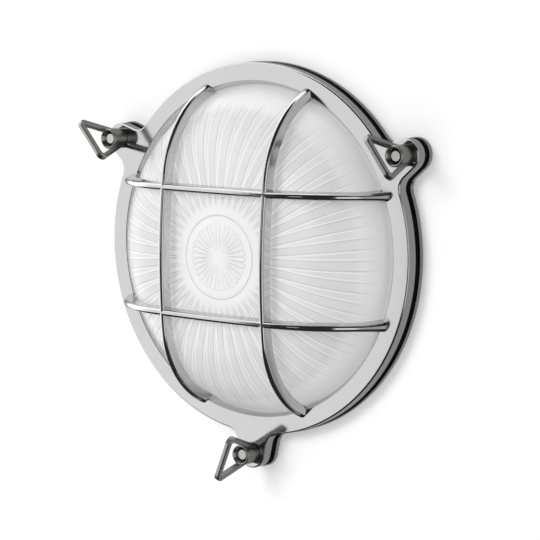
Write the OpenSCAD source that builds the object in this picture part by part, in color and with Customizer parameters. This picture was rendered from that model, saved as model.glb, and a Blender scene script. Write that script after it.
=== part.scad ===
// Round bulkhead light: a prismatic glass bowl under a caged guard ring, clamped to a back plate by three
// studs with looped thumb nuts. The lamp axis is Y, the wall face is Y = 0 and the front looks along -Y.

/* [Guard ring] */
// Outside diameter of the guard ring, without its lugs
ring_d = 230; // [215:1:250]
// Width of the flat front face of the ring
ring_face = 11; // [10:0.5:14]
// Thickness of the ring, from its front face to the gasket
ring_t = 7; // [6:0.5:9]
// Rounding of the front edge of the ring
ring_edge = 1; // [0.5:0.1:1.5]
// Depth of the rabbet behind the ring that takes the glass flange and its seal
rabbet_depth = 4; // [3:0.5:5]
// How far the inner lip leans in behind the front face
lip_lean = 2; // [1:0.5:2.5]

/* [Guard lugs] */
// Distance of each stud outside the edge of the ring
stud_out = 12.3; // [11:0.1:16]
// Radius of the round end of a lug
lug_end_r = 9.75; // [8.5:0.25:11]
// Lean of the sides of a lug, in degrees
lug_taper = 12; // [6:1:18]
// Radius of the fillet between a lug and the ring
lug_fillet = 9; // [6:0.5:12]

/* [Guard bars] */
// Distance between the centre lines of two parallel bars
bar_pitch = 77.2; // [65:0.1:90]
// Width of a bar
bar_w = 4; // [3:0.1:5]
// Depth of a bar, from its round front to its back
bar_depth = 7; // [5:0.1:7.4]
// Height of the bars over the front face of the ring
bar_rise = 44; // [43:0.5:50]
// Radius of the flat middle stretch of a bar
bar_crown_r = 430; // [350:5:600]
// Radius of the shoulders of a bar
bar_shoulder_r = 66; // [62:0.5:70]
// How far outside the inner edge of the ring the front of a bar lands
bar_landing = 3.6; // [2.5:0.1:5]

/* [Glass] */
// Diameter of the glass at the front face of the ring
glass_d = 198.6; // [190:0.2:200]
// Height of the glass over the front face of the ring
glass_rise = 35.2; // [32:0.1:35.6]
// Radius of the flat middle of the glass
glass_crown_r = 423; // [350:1:600]
// Radius of the shoulder of the glass
glass_shoulder_r = 53; // [48:0.5:56]
// Wall of the glass
glass_wall = 3; // [2:0.1:4]
// How far the flange of the glass reaches outside the inner edge of the ring
flange_reach = 3.6; // [3:0.1:5]

/* [Pattern inside the glass] */
// How far the pattern stands proud of the inside of the glass
relief_h = 0.6; // [0.3:0.1:1]
// Number of ribs
rib_count = 44; // [36:1:52]
// Radius at which the ribs start
rib_in = 31; // [29:0.5:34]
// Radius at which the ribs end
rib_out = 94; // [88:0.5:96]
// Width of a rib at its inner end
rib_w = 3.4; // [2.4:0.1:3.6]
// Width of a rib at its outer end
rib_rim_w = 6.4; // [4:0.1:9]
// Middle radius of the ring inside the ribs
bead_r = 25.5; // [23:0.5:27]
// Width of that ring
bead_w = 1.8; // [1:0.1:2.4]
// Number of petals inside that ring
petal_count = 32; // [20:1:36]
// Radius at which the petals start
petal_in = 5; // [4.5:0.5:8]
// Radius at which the petals end
petal_out = 20.5; // [18:0.5:21.5]
// Width of a petal at its outer end
petal_w = 2.8; // [2:0.1:3.2]
// Diameter of the dot in the middle
dot_d = 2.8; // [2:0.1:4]

/* [Gasket and seal] */
// Thickness of the gasket between ring and back plate
gasket_t = 4; // [3:0.5:6]
// Width of the gasket, in from the edge of the ring
gasket_face = 16; // [13:0.5:19]
// Thickness of the flat seal in front of the glass flange
seal_t = 1; // [0.6:0.1:1.5]

/* [Back plate] */
// Thickness of the back plate
plate_t = 3; // [3:0.5:5]
// How far the plate stands out past the ring
plate_proud = 0.6; // [0:0.1:1.5]
// Circle of the wall fixing holes
fixing_pcd = 150; // [140:1:160]
// Diameter of the wall fixing holes
fixing_d = 5.5; // [4.5:0.1:6.5]

/* [Studs and thumb nuts] */
// Diameter of the studs
stud_d = 6; // [5:0.5:6.5]
// Diameter of the flat head of a stud, let into the back of the plate
stud_head_d = 10; // [9:0.5:12]
// Thickness of that head
stud_head_t = 1.2; // [1:0.1:1.6]
// Diameter of the boss of a thumb nut
nut_d = 13; // [12:0.5:15]
// Length of the boss
nut_l = 11; // [10:0.5:14]
// Diameter of the dish in the front of the boss
nut_dish_d = 10.8; // [9.5:0.1:11]
// Depth of that dish
nut_dish = 4; // [3:0.5:5]
// How far the end of the stud lies behind the front of the boss
stud_sunk = 2.2; // [1.5:0.1:3]
// Width of the triangular loop
loop_w = 30.2; // [28:0.2:34]
// Height of the loop over the lug
loop_h = 29.3; // [27:0.1:34]
// Width of the bar of the loop
loop_bar = 3.2; // [2.6:0.1:3.6]
// Thickness of the bar of the loop
loop_bar_t = 3.8; // [3:0.1:4.4]
// Middle radius of the corners of the loop
loop_corner = 2.4; // [2:0.1:3]
// Turn of the right-hand nut about its stud, in degrees
turn_right = 127; // [0:1:180]
// Turn of the left-hand nut
turn_left = 131; // [0:1:180]
// Turn of the bottom nut
turn_bottom = 69; // [0:1:180]

/* [Reflector] */
// Diameter of the flat floor of the reflector
reflector_d = 176; // [170:1:182]
// Height of its sloping rim
reflector_rim = 4; // [2:0.5:6]
// Sheet of the reflector
reflector_t = 0.8; // [0.6:0.1:1.2]
// Distance of its two screws above the lamp axis
reflector_screw_up = 48; // [44:1:56]
// Distance between them
reflector_screw_pitch = 90; // [80:1:96]

/* [Cable entry] */
// Bore of the rubber bush for the supply cable
cable_d = 8; // [6:0.5:10]
// Diameter of the neck of the bush
bush_neck_d = 16; // [14:0.5:18]
// Diameter of its two flanges
bush_flange_d = 22; // [20:0.5:24]
// Thickness of the flange let into the back of the plate
bush_back_t = 1.2; // [0.8:0.1:1.5]
// Thickness of the flange on the reflector
bush_front_t = 2; // [1.5:0.5:3]
// Length of the tapered nose
bush_nose = 4; // [3:0.5:6]
// Distance of the cable entry below the lamp axis
cable_down = 30; // [28:1:36]

/* [Lamp and holder] */
// Height of the lamp over the wall face
lamp_z = 23; // [21:0.5:25]
// Distance of the lamp above the axis of the light
lamp_up = 8; // [4:1:12]
// Distance of the bracket from the axis of the light
bracket_out = 50; // [46:1:54]
// Diameter of the bulb
bulb_d = 26; // [22:1:28]
// Length of the bulb from the rim of its cap
bulb_l = 50; // [40:1:56]
// Diameter of the screw cap of the lamp
cap_d = 13.8; // [13:0.1:14]
// Length of the screw cap
cap_l = 17; // [14:0.5:20]
// Diameter of the porcelain cup
cup_d = 26; // [24:0.5:28]
// Depth of the porcelain cup
cup_l = 27; // [24:0.5:30]
// Thickness of the bottom of the cup
cup_floor = 6; // [5:0.5:8]
// Wall of the brass sleeve
sleeve_wall = 0.7; // [0.5:0.1:1]
// Length of the brass sleeve
sleeve_l = 17; // [15:0.5:19]
// Diameter of the threaded tube that holds the cup
nipple_d = 10; // [9:0.5:11]
// Wall of that tube
nipple_wall = 1.5; // [1:0.1:1.8]
// Height of the hexagon nut on it
hex_h = 3; // [2.5:0.5:4]
// Width over the flats of that nut
hex_flats = 14; // [13:0.5:16]
// Sheet of the bracket
bracket_t = 1.5; // [1.2:0.1:2]
// Width of the bracket
bracket_w = 24; // [20:1:26]
// Length of its foot
bracket_foot = 22; // [20:1:24]
// Inside radius of its bend
bracket_bend = 2; // [1:0.5:3]

/* [Terminal block] */
// Distance of the block below the lamp axis
block_down = 62; // [60:1:64]
// Pitch of its ways
block_pitch = 10; // [9:0.5:11]
// Length of a way, along the wires
block_l = 16; // [15:0.5:18]
// Height of the block
block_h = 13; // [12:0.5:15]
// Diameter of its brass tubes
tube_d = 5.4; // [5:0.1:6]
// Bore of the tubes
tube_bore = 3.4; // [3:0.1:3.6]
// Diameter of the wires, over their insulation
wire_d = 2.4; // [2:0.1:2.8]
// Distance of the earth screw from the lamp axis, to the right
earth_out = 36; // [34:1:40]

/* [Small screws] */
// Diameter of the pan-head screws
screw_d = 3.5; // [3:0.1:4]
// Diameter of their heads
screw_head_d = 7; // [6:0.1:8]
// Height of their heads
screw_head_h = 2.2; // [1.8:0.1:3]
// Diameter of the terminal screws
clamp_screw_d = 2.6; // [2.2:0.1:3]

/* [Clearances] */
// Gap all round a stud in its nut
running_gap = 0.05; // [0.02:0.01:0.09]
// Gap between a nut and its lug
nut_gap = 0.3; // [0.2:0.05:0.5]
// Gap all round a stud in the guard and gasket
stud_gap = 0.3; // [0.2:0.05:0.6]
// Gap all round a piece that is held in a hole or rabbet
fit_gap = 0.1; // [0.05:0.01:0.3]

/* [Hidden] */
$fn = 96;

// Heights over the wall face, and radii from the lamp axis
ring_z = plate_t + gasket_t;
face_z = ring_z + ring_t;
lip_z = ring_z + rabbet_depth;
ring_r = ring_d / 2;
ring_in_r = ring_r - ring_face;
lip_r = ring_in_r - lip_lean;
flange_r = ring_in_r + flange_reach;
flange_z = lip_z - seal_t;
stud_r = ring_r + stud_out;
stud_angles = [30, 150, 270];
floor_z = plate_t + reflector_t;
over = 1;
// Curves that only touch are grown by this hair, so that they cross
hair = 0.02;
// How far the crown of a bar runs into its shoulders
crown_lap = 1.5;

// Centre of the shoulder arc that leaves the crown smoothly and passes through the foot point
function shoulder_centre(top, crown_r, shoulder_r, foot) =
    let (d = foot - [0, top - crown_r],
        span = norm(d),
        near = crown_r - shoulder_r,
        along = (near * near - shoulder_r * shoulder_r + span * span) / (2 * span),
        aside = sqrt(near * near - along * along))
    [0, top - crown_r] + (along * d + aside * [-d[1], d[0]]) / span;

// Angle at which the crown arc ends, from the lamp axis
function crown_end(top, crown_r, centre) = atan2(centre[0], centre[1] - top + crown_r);

// Turns a piece drawn with its front along +Z to the front of the light
module to_front() {
    rotate([90, 0, 0]) children();
}

// Puts copies at the three lugs
module at_studs() {
    for (a = stud_angles) {
        rotate(a) translate([stud_r, 0, 0]) children();
    }
}

// The three tapered lugs outside a disc of the radius disc_r, their edges moved out by grow
module lugs(disc_r, grow) {
    end_r = lug_end_r + grow;
    fillet_r = lug_fillet - grow;
    side = [cos(lug_taper), sin(lug_taper)];
    down = [side[1], -side[0]];
    touch = [0, stud_r] + end_r * side;
    start = touch + fillet_r * side;
    half_b = start * down;
    run = -half_b - sqrt(half_b * half_b - start * start + pow(disc_r + fillet_r, 2));
    fillet = start + run * down;
    heel = touch + run * down;
    toe = fillet * disc_r / norm(fillet);
    for (a = stud_angles) {
        rotate(a - 90) {
            translate([0, stud_r]) circle(end_r + hair);
            difference() {
                polygon([[0, 0], toe, heel, touch, [-touch[0], touch[1]], [-heel[0], heel[1]],
                    [-toe[0], toe[1]]]);
                for (s = [-1, 1]) {
                    translate([s * fillet[0], fillet[1]]) circle(fillet_r + hair);
                }
            }
        }
    }
}

// Outline of gasket and plate: a disc with the lugs, all edges moved out by grow
module lugged_disc(grow) {
    circle(ring_r + grow, $fn = 360);
    lugs(ring_r + grow, grow);
}

// Half section of a dome with a flat crown and round shoulders, down to the height low
module dome_section(top, crown_r, shoulder_r, centre, low) {
    split = crown_r * sin(crown_end(top, crown_r, centre));
    intersection() {
        translate([0, top - crown_r]) circle(crown_r, $fn = 360);
        translate([0, low]) square([split, top - low + over]);
    }
    intersection() {
        translate(centre) circle(shoulder_r, $fn = 180);
        translate([split, low]) square([shoulder_r + centre[0], top - low + over]);
    }
}

// Section of a guard bar: flat sides and a round front, with its front at the radius r
module bar_section(r, grow) {
    wide = bar_w + 2 * grow;
    translate([r - bar_depth - grow, -wide / 2]) square([bar_depth + 2 * grow - wide / 2, wide]);
    translate([r + grow - wide / 2, 0]) circle(d = wide);
}

// One arched bar in the XY plane, from ring to ring. The crown runs a little into the shoulders, which are
// a hair larger.
module arched_bar() {
    land_r = ring_in_r + bar_landing;
    foot = [sqrt(land_r * land_r - bar_pitch * bar_pitch / 4), face_z];
    top = face_z + bar_rise;
    centre = shoulder_centre(top, bar_crown_r, bar_shoulder_r, foot);
    crown = crown_end(top, bar_crown_r, centre);
    low = asin((lip_z - centre[1]) / bar_shoulder_r);
    into = crown + crown_lap / bar_crown_r * 180 / PI;
    translate([0, top - bar_crown_r, 0]) rotate(90 - into) {
        rotate_extrude(angle = 2 * into, $fn = 720) bar_section(bar_crown_r, 0);
    }
    for (s = [0, 1]) {
        mirror([s, 0, 0]) translate([centre[0], centre[1], 0]) rotate(low) {
            rotate_extrude(angle = 90 - crown - low, $fn = 240) bar_section(bar_shoulder_r, 2 * hair);
        }
    }
}

module guard_bars() {
    for (s = [-1, 1]) {
        translate([0, s * bar_pitch / 2, 0]) rotate([90, 0, 0]) arched_bar();
        translate([s * bar_pitch / 2, 0, 0]) rotate([90, 0, 90]) arched_bar();
    }
}

// Ring section: round front edge outside, leaning lip inside, rabbet behind
module ring_section() {
    rabbet_r = flange_r + fit_gap;
    polygon([[rabbet_r, ring_z], [ring_r, ring_z], [ring_r, face_z - ring_edge],
        [ring_r - ring_edge, face_z - ring_edge], [ring_r - ring_edge, face_z], [ring_in_r, face_z],
        [lip_r, lip_z], [rabbet_r, lip_z]]);
    translate([ring_r - ring_edge, face_z - ring_edge]) circle(ring_edge);
}

// The lugs of the ring, from inside the round of its front edge
module lug_pads() {
    linear_extrude(ring_t) difference() {
        lugs(ring_r, 0);
        circle(ring_r - 3 * ring_edge, $fn = 360);
    }
}

module guard() {
    color("silver") to_front() difference() {
        union() {
            rotate_extrude($fn = 360) ring_section();
            translate([0, 0, ring_z]) lug_pads();
            intersection() {
                guard_bars();
                translate([0, 0, lip_z]) cylinder(r = ring_r, h = face_z + bar_rise);
            }
        }
        at_studs() translate([0, 0, ring_z - over])
            cylinder(d = stud_d + 2 * stud_gap, h = ring_t + 2 * over);
    }
}

// Half section of the glass without its flange, set back by inset from its outside, down to the height low
module glass_form(inset, low) {
    top = face_z + glass_rise;
    foot = [glass_d / 2, face_z];
    centre = shoulder_centre(top, glass_crown_r, glass_shoulder_r, foot);
    dome_section(top - inset, glass_crown_r - inset, glass_shoulder_r - inset, centre, low);
}

module glass_section() {
    difference() {
        union() {
            glass_form(0, ring_z);
            translate([0, ring_z]) square([flange_r, flange_z - ring_z]);
        }
        glass_form(glass_wall, ring_z - over);
    }
}

// A finger along X from the radius start to the radius end, with cut corners
module finger(start, end, start_w, end_w) {
    cut = [start_w, end_w] / 4;
    polygon([[start, -cut[0]], [start + cut[0], -2 * cut[0]], [end - cut[1], -2 * cut[1]], [end, -cut[1]],
        [end, cut[1]], [end - cut[1], 2 * cut[1]], [start + cut[0], 2 * cut[0]], [start, cut[0]]]);
}

// Ribs, ring, petals and dot, seen from the front
module relief_outline() {
    for (i = [0 : rib_count - 1]) {
        rotate(i * 360 / rib_count) finger(rib_in, rib_out, rib_w, rib_rim_w);
    }
    difference() {
        circle(bead_r + bead_w / 2);
        circle(bead_r - bead_w / 2);
    }
    for (i = [0 : petal_count - 1]) {
        rotate(i * 360 / petal_count) finger(petal_in, petal_out, petal_w * petal_in / petal_out, petal_w);
    }
    circle(d = dot_d);
}

// The pattern, as a thin shell cut to that outline, from the middle of the wall in
module glass_relief() {
    intersection() {
        rotate_extrude($fn = 360) difference() {
            glass_form(glass_wall / 2, ring_z);
            glass_form(glass_wall + relief_h, ring_z - over);
        }
        translate([0, 0, face_z]) linear_extrude(glass_rise) relief_outline();
    }
}

module glass_dome() {
    color("white", 0.5) to_front() {
        rotate_extrude($fn = 360) glass_section();
        glass_relief();
    }
}

module glass_seal() {
    color("dimgray") to_front() translate([0, 0, flange_z]) difference() {
        cylinder(r = flange_r, h = seal_t, $fn = 360);
        translate([0, 0, -over]) cylinder(r = lip_r + fit_gap, h = seal_t + 2 * over, $fn = 360);
    }
}

module body_gasket() {
    color("black") to_front() translate([0, 0, plate_t]) difference() {
        linear_extrude(gasket_t) lugged_disc(0);
        translate([0, 0, -over]) cylinder(r = ring_r - gasket_face, h = gasket_t + 2 * over, $fn = 360);
        at_studs() translate([0, 0, -over]) cylinder(d = stud_d + 2 * stud_gap, h = gasket_t + 2 * over);
    }
}

// Places of the pieces on the floor, seen from the front
fixing_angles = [90, 210, 330];
cable_at = [0, -cable_down];
reflector_screws_at = [for (s = [-1, 1]) [s * reflector_screw_pitch / 2, reflector_screw_up]];
foot_screw_in = bracket_foot * 0.6;
bracket_screws_at = [for (s = [-1, 1]) [-bracket_out - foot_screw_in, lamp_up + s * bracket_w / 4]];
block_at = [0, -block_down];
ear_l = screw_head_d * 1.3;
block_screw_at = block_at - [1.5 * block_pitch + ear_l / 2, 0];
earth_at = [earth_out, -block_down + block_l];
screw_places = concat(reflector_screws_at, bracket_screws_at, [block_screw_at, earth_at]);

// Screw holes through a sheet, from the height low up
module screw_holes(low) {
    for (p = screw_places) {
        translate([p[0], p[1], low]) cylinder(d = screw_d + 2 * fit_gap, h = floor_z + 2 * over);
    }
}

module back_plate() {
    screw_low = plate_t / 6;
    color("silver") to_front() difference() {
        linear_extrude(plate_t) lugged_disc(plate_proud);
        at_studs() {
            translate([0, 0, -over]) cylinder(d = stud_d + 2 * fit_gap, h = plate_t + 2 * over);
            translate([0, 0, -over]) cylinder(d = stud_head_d + 2 * fit_gap, h = stud_head_t + over);
        }
        for (a = fixing_angles) {
            rotate(a) translate([fixing_pcd / 2, 0, -over]) cylinder(d = fixing_d, h = plate_t + 2 * over);
        }
        translate([cable_at[0], cable_at[1], -over]) {
            cylinder(d = bush_neck_d + 2 * fit_gap, h = plate_t + 2 * over);
            cylinder(d = bush_flange_d + 2 * fit_gap, h = bush_back_t + over);
        }
        screw_holes(screw_low);
    }
}

// Stud with a flat head let into the back of the plate
module stud(i) {
    color("silver") to_front() rotate(stud_angles[i]) translate([stud_r, 0, 0]) {
        cylinder(d = stud_head_d, h = stud_head_t);
        cylinder(d = stud_d, h = face_z + nut_gap + nut_l - stud_sunk);
    }
}

// Rounded section of the bar of a loop
module loop_section(grow) {
    wide = loop_bar + 2 * grow;
    thick = loop_bar_t + 2 * grow;
    round = loop_bar / 4;
    square([wide - 2 * round, thick], center = true);
    square([wide, thick - 2 * round], center = true);
    for (x = [-1, 1], y = [-1, 1]) {
        translate([x * (wide / 2 - round), y * (thick / 2 - round)]) circle(round, $fn = 32);
    }
}

// Triangular loop in the XZ plane: two legs out of the boss, two round corners and a crossbar. The straight
// bars run a little into the corners, which are a hair larger.
module nut_loop() {
    into = loop_bar / 8;
    top = loop_h - loop_bar / 2;
    root = [nut_d / 2 - loop_bar / 2, nut_gap + loop_bar / 2];
    bend = [loop_w / 2 - loop_bar / 2 - loop_corner, top - loop_corner];
    reach = bend - root;
    lean = atan2(reach[0], reach[1]) + asin(loop_corner / norm(reach));
    leg = sqrt(reach * reach - loop_corner * loop_corner);
    translate([-bend[0] - into, 0, top]) rotate([0, 90, 0]) linear_extrude(2 * bend[0] + 2 * into)
        rotate(90) loop_section(0);
    for (s = [0, 1]) {
        mirror([s, 0, 0]) {
            translate([root[0], 0, root[1]]) rotate([0, lean, 0]) linear_extrude(leg + into) loop_section(0);
            translate([bend[0], 0, bend[1]]) rotate([90, 0, 0]) rotate(-lean) {
                rotate_extrude(angle = 90 + lean) translate([loop_corner, 0]) loop_section(2 * hair);
            }
        }
    }
}

// Thumb nut: a boss with a dished front, a bore for the stud and the loop
module thumb_nut(i, turn) {
    edge = nut_d / 20;
    bore_r = stud_d / 2 + running_gap;
    front = nut_gap + nut_l;
    at = stud_r * [cos(stud_angles[i]), sin(stud_angles[i])];
    color("gray") to_front() translate([at[0], at[1], face_z]) rotate(turn) {
        difference() {
            union() {
                rotate_extrude() polygon([[0, nut_gap], [nut_d / 2, nut_gap], [nut_d / 2, front - edge],
                    [nut_d / 2 - edge, front], [0, front]]);
                nut_loop();
            }
            cylinder(r = bore_r, h = loop_h - 2 * loop_bar);
            translate([0, 0, front - nut_dish]) cylinder(r1 = bore_r, r2 = nut_dish_d / 2, h = nut_dish);
        }
    }
}

module reflector() {
    floor_r = reflector_d / 2;
    rim_r = floor_r + reflector_rim;
    access_d = fixing_d * 2;
    color("white") to_front() difference() {
        translate([0, 0, plate_t]) rotate_extrude($fn = 180) polygon([[0, 0], [floor_r, 0],
            [rim_r, reflector_rim], [rim_r - reflector_t, reflector_rim + reflector_t],
            [floor_r - reflector_t / 2, reflector_t], [0, reflector_t]]);
        for (a = fixing_angles) {
            rotate(a) translate([fixing_pcd / 2, 0, 0]) cylinder(d = access_d, h = floor_z + over);
        }
        translate(cable_at) cylinder(d = bush_neck_d + 2 * fit_gap, h = floor_z + over);
        screw_holes(0);
    }
}

// Pan-head screw whose head sits at the height seat
module pan_screw(at, seat) {
    low = plate_t / 6 + fit_gap;
    round = screw_head_h / 2;
    translate([at[0], at[1], low]) cylinder(d = screw_d, h = seat - low + over);
    translate([at[0], at[1], seat]) difference() {
        rotate_extrude() {
            square([screw_head_d / 2 - round, screw_head_h]);
            square([screw_head_d / 2, screw_head_h - round]);
            translate([screw_head_d / 2 - round, screw_head_h - round]) circle(round);
        }
        slot = screw_head_h / 3;
        translate([-screw_head_d, -slot / 2, screw_head_h - slot]) cube([2 * screw_head_d, slot, 2 * slot]);
    }
}

module reflector_screws() {
    color("silver") to_front() {
        for (p = reflector_screws_at) {
            pan_screw(p, floor_z);
        }
    }
}

module cable_grommet() {
    bore_r = cable_d / 2;
    neck_r = bush_neck_d / 2;
    flange_out = bush_flange_d / 2;
    rim = floor_z + bush_front_t;
    tip = rim + bush_nose;
    color("dimgray") to_front() translate(cable_at) rotate_extrude() polygon([[bore_r, 0], [flange_out, 0],
        [flange_out, bush_back_t], [neck_r, bush_back_t], [neck_r, floor_z], [flange_out, floor_z],
        [flange_out, rim], [neck_r, rim], [(bore_r + neck_r) / 2, tip], [bore_r, tip]]);
}

// Lays a piece drawn along +Z on the lamp axis, with Z = 0 at the front of the bracket
module on_lamp_axis() {
    to_front() translate([-bracket_out, lamp_up, lamp_z]) rotate([0, 90, 0]) children();
}

module holder_bracket() {
    head_r = bracket_w / 2;
    bend_out = bracket_bend + bracket_t;
    color("lightgray") to_front() translate([-bracket_out, lamp_up, floor_z]) difference() {
        union() {
            translate([-bracket_foot, -bracket_w / 2, 0])
                cube([bracket_foot - bend_out, bracket_w, bracket_t]);
            translate([-bend_out, bracket_w / 2, bend_out]) rotate([90, 0, 0]) rotate(-90)
                rotate_extrude(angle = 90) translate([bracket_bend, 0]) square([bracket_t, bracket_w]);
            translate([-bracket_t, -bracket_w / 2, bend_out])
                cube([bracket_t, bracket_w, lamp_z - floor_z - bend_out]);
            translate([-bracket_t, 0, lamp_z - floor_z]) rotate([0, 90, 0])
                cylinder(r = head_r, h = bracket_t);
        }
        translate([-bracket_t - over, 0, lamp_z - floor_z]) rotate([0, 90, 0])
            cylinder(d = nipple_d + 2 * fit_gap, h = bracket_t + 2 * over);
        for (p = bracket_screws_at) {
            translate([p[0] + bracket_out, p[1] - lamp_up, -over])
                cylinder(d = screw_d + 2 * fit_gap, h = bracket_t + 2 * over);
        }
    }
}

module bracket_screws() {
    color("silver") to_front() {
        for (p = bracket_screws_at) {
            pan_screw(p, floor_z + bracket_t);
        }
    }
}

// Porcelain cup with a threaded seat for the tube behind it
nipple_in = cup_floor * 0.7;
sleeve_r = cap_d / 2 + 2 * fit_gap + sleeve_wall;
module lampholder_body() {
    rim = cup_d / 16;
    cup_r = cup_d / 2;
    cup_bore = sleeve_r + fit_gap;
    color("white") on_lamp_axis() difference() {
        rotate_extrude() {
            square([cup_r - rim, cup_l]);
            square([cup_r, cup_l - rim]);
            translate([cup_r - rim, cup_l - rim]) circle(rim);
        }
        translate([0, 0, cup_floor]) cylinder(r = cup_bore, h = cup_l);
        translate([0, 0, -over]) cylinder(d = nipple_d + 2 * fit_gap, h = nipple_in + over);
        cylinder(d = wire_d, h = cup_floor + over);
    }
}

module lampholder_shell() {
    contact_room = cap_d / 2;
    color("goldenrod") on_lamp_axis() translate([0, 0, cup_floor]) difference() {
        cylinder(r = sleeve_r, h = sleeve_l);
        translate([0, 0, sleeve_wall]) cylinder(r = sleeve_r - sleeve_wall, h = sleeve_l);
        translate([0, 0, -over]) cylinder(d = contact_room, h = sleeve_l);
    }
}

contact_h = cup_floor / 2;
module centre_contact() {
    color("goldenrod") on_lamp_axis() translate([0, 0, cup_floor]) {
        cylinder(d = cap_d / 2.5, h = contact_h / 3);
        cylinder(d = cap_d / 4, h = contact_h);
    }
}

module holder_nipple() {
    back = bracket_t + hex_h + over;
    color("goldenrod") on_lamp_axis() translate([0, 0, -back]) difference() {
        cylinder(d = nipple_d, h = back + nipple_in);
        translate([0, 0, -over]) cylinder(d = nipple_d - 2 * nipple_wall, h = back + nipple_in + 2 * over);
    }
}

module holder_nut() {
    color("goldenrod") on_lamp_axis() translate([0, 0, -bracket_t - hex_h]) difference() {
        cylinder(d = hex_flats / cos(30), h = hex_h, $fn = 6);
        translate([0, 0, -over]) cylinder(d = nipple_d + 2 * fit_gap, h = hex_h + 2 * over);
    }
}

// Tubular lamp: contact pip, insulator cone, screw cap, neck and round-ended bulb, sealed in one
module lamp() {
    start = cup_floor + contact_h + fit_gap;
    pip = cap_d / 8;
    cap_r = cap_d / 2;
    bulb_r = bulb_d / 2;
    cap_top = start + pip + cap_r / 3 + cap_l;
    shoulder = cap_top + bulb_r - cap_r;
    round = cap_top + bulb_l - bulb_r;
    color("whitesmoke") on_lamp_axis() rotate_extrude() {
        polygon([[0, start], [cap_r / 3, start], [cap_r / 3, start + pip], [cap_r, start + pip + cap_r / 3],
            [cap_r, cap_top], [bulb_r, shoulder], [bulb_r, round], [0, round]]);
        intersection() {
            translate([0, round]) circle(bulb_r);
            translate([0, round]) square(bulb_r);
        }
    }
}

// Ways of the terminal block, from left to right: live, neutral, earth
ways = [-1, 0, 1];
tube_z = floor_z + block_h / 2;
clamp_off = block_l / 3.4;
clamp_head_d = clamp_screw_d * 1.3;

module at_ways() {
    for (w = ways) {
        translate([block_at[0] + w * block_pitch, block_at[1], 0]) children();
    }
}

// Three towers on a low body, with a fixing ear at the left end
ear_h = block_h * 0.3;
module terminal_block() {
    waist = block_pitch / 8;
    body_h = block_h * 0.6;
    color("ivory") to_front() difference() {
        union() {
            translate([block_at[0] - 1.5 * block_pitch, block_at[1] - block_l / 2, floor_z])
                cube([3 * block_pitch, block_l, body_h]);
            translate([block_screw_at[0] - ear_l / 2, block_at[1] - ear_l / 2, floor_z])
                cube([2 * ear_l, ear_l, ear_h]);
            at_ways() translate([-block_pitch / 2 + waist, -block_l / 2, floor_z])
                cube([block_pitch - 2 * waist, block_l, block_h]);
        }
        at_ways() {
            translate([0, block_l, tube_z]) rotate([90, 0, 0])
                cylinder(d = tube_d + 2 * fit_gap, h = 2 * block_l);
            for (s = [-1, 1]) {
                translate([0, s * clamp_off, tube_z]) cylinder(d = clamp_head_d + 4 * fit_gap, h = block_h);
            }
        }
        translate([block_screw_at[0], block_screw_at[1], 0]) cylinder(d = screw_d + 2 * fit_gap, h = block_h);
    }
}

module terminal_tubes() {
    tube_l = block_l * 0.9;
    color("goldenrod") to_front() at_ways() difference() {
        translate([0, tube_l / 2, tube_z]) rotate([90, 0, 0]) cylinder(d = tube_d, h = tube_l);
        translate([0, block_l, tube_z]) rotate([90, 0, 0]) cylinder(d = tube_bore, h = 2 * block_l);
        for (s = [-1, 1]) {
            translate([0, s * clamp_off, tube_z]) cylinder(d = clamp_screw_d + 2 * fit_gap, h = block_h);
        }
    }
}

// Clamping screws, driven down to the wires
module terminal_screws() {
    tip = tube_z + wire_d / 2 + fit_gap;
    head_z = tube_z + tube_d / 2 + fit_gap;
    color("silver") to_front() at_ways() {
        for (s = [-1, 1]) {
            translate([0, s * clamp_off, 0]) difference() {
                union() {
                    translate([0, 0, tip]) cylinder(d = clamp_screw_d, h = head_z - tip + over / 2);
                    translate([0, 0, head_z]) cylinder(d = clamp_head_d, h = clamp_screw_d);
                }
                translate([-clamp_head_d, -clamp_screw_d / 10, head_z + clamp_screw_d * 0.7])
                    cube([2 * clamp_head_d, clamp_screw_d / 5, clamp_screw_d]);
            }
        }
    }
}

module block_screw() {
    color("silver") to_front() pan_screw(block_screw_at, floor_z + ear_h);
}

// A smooth curve through hand-set points, and a tube of eight sides along it
function along(p, i, t) =
    let (a = p[max(i - 1, 0)], b = p[i], c = p[i + 1], d = p[min(i + 2, len(p) - 1)])
    b + t * ((c - a) / 2 + t * (a - 2.5 * b + 2 * c - d / 2 + t * (-a / 2 + 1.5 * b - 1.5 * c + d / 2)));

module wire(points) {
    steps = 4;
    sides = 8;
    path = [for (i = [0 : len(points) - 2], k = [0 : steps - 1]) along(points, i, k / steps),
        points[len(points) - 1]];
    last = len(path) - 1;
    rings = [for (i = [0 : last])
        let (t = path[min(i + 1, last)] - path[max(i - 1, 0)],
            ahead = t / norm(t),
            side = cross(ahead, [0, 0, 1]) / norm(cross(ahead, [0, 0, 1])),
            up = cross(side, ahead))
        for (k = [0 : sides - 1])
            path[i] + wire_d / 2 * (cos(k * 360 / sides) * side + sin(k * 360 / sides) * up)];
    walls = [for (i = [0 : last - 1], k = [0 : sides - 1])
        let (n = (k + 1) % sides)
        [i * sides + k, (i + 1) * sides + k, (i + 1) * sides + n, i * sides + n]];
    ends = [[for (k = [0 : sides - 1]) k], [for (k = [0 : sides - 1]) last * sides + sides - 1 - k]];
    polyhedron(rings, concat(walls, ends), convexity = 6);
}

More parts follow.
